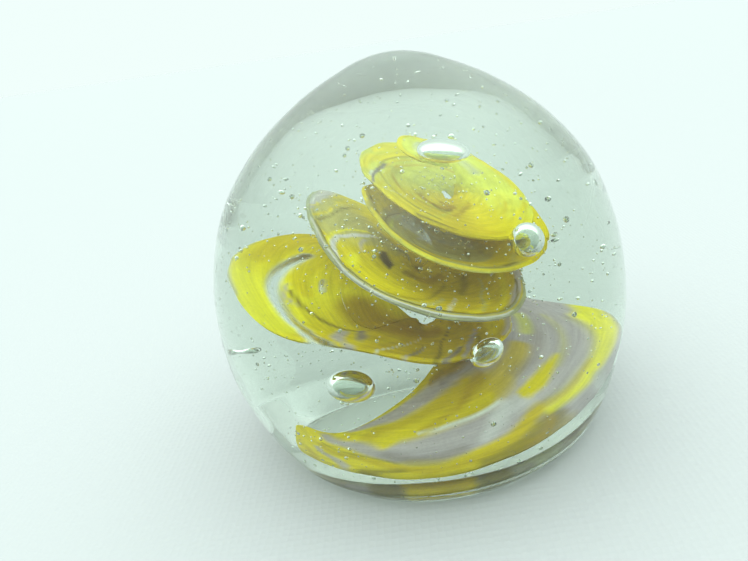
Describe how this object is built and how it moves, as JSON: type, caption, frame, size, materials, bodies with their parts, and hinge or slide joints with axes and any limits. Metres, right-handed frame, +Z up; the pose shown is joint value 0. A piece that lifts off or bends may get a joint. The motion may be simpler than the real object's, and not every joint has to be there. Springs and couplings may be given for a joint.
{
  "type": "paperweight",
  "caption": "Solid clear glass dome paperweight with a soft crown, a flat ground foot and a tilted yellow and lilac glass corkscrew with air bubbles inside.",
  "frame": {"origin": "centre of the flat ground foot, on the surface the paperweight rests on", "axes": "+Z up through the crown; -Y is the side the picture shows; the corkscrew leans towards +X"},
  "size_m": [0.072, 0.072, 0.066],
  "materials": {
    "clear_glass": "fire-polished clear glass, faint grey-green",
    "yellow_glass": "opaque streaky yellow glass",
    "thin_yellow_glass": "thin translucent yellow glass",
    "lilac_glass": "opaque pale lilac-grey glass"
  },
  "bodies": {
    "root": {"clear_casing": "clear_glass", "clear_core": "clear_glass", "top_loop_yellow": "thin_yellow_glass", "upper_disc_yellow": "thin_yellow_glass", "upper_disc_rim_yellow": "thin_yellow_glass", "window_dish_yellow": "thin_yellow_glass", "window_dish_rim_yellow": "yellow_glass", "saucer_yellow": "yellow_glass", "saucer_band_yellow": "yellow_glass", "saucer_rim_lilac": "lilac_glass", "lower_saucer_yellow": "yellow_glass", "lower_saucer_lilac": "lilac_glass", "left_wing_yellow": "yellow_glass", "stem_yellow": "yellow_glass", "back_sweep_yellow": "yellow_glass", "right_sweep_lilac": "lilac_glass", "right_sweep_yellow": "yellow_glass", "right_sweep_rim_yellow": "yellow_glass", "front_sweep_lilac": "lilac_glass", "front_sweep_yellow": "yellow_glass", "front_sweep_pale": "lilac_glass", "base_rim_yellow": "yellow_glass", "foot_lap_yellow": "yellow_glass"}
  },
  "joints": []
}
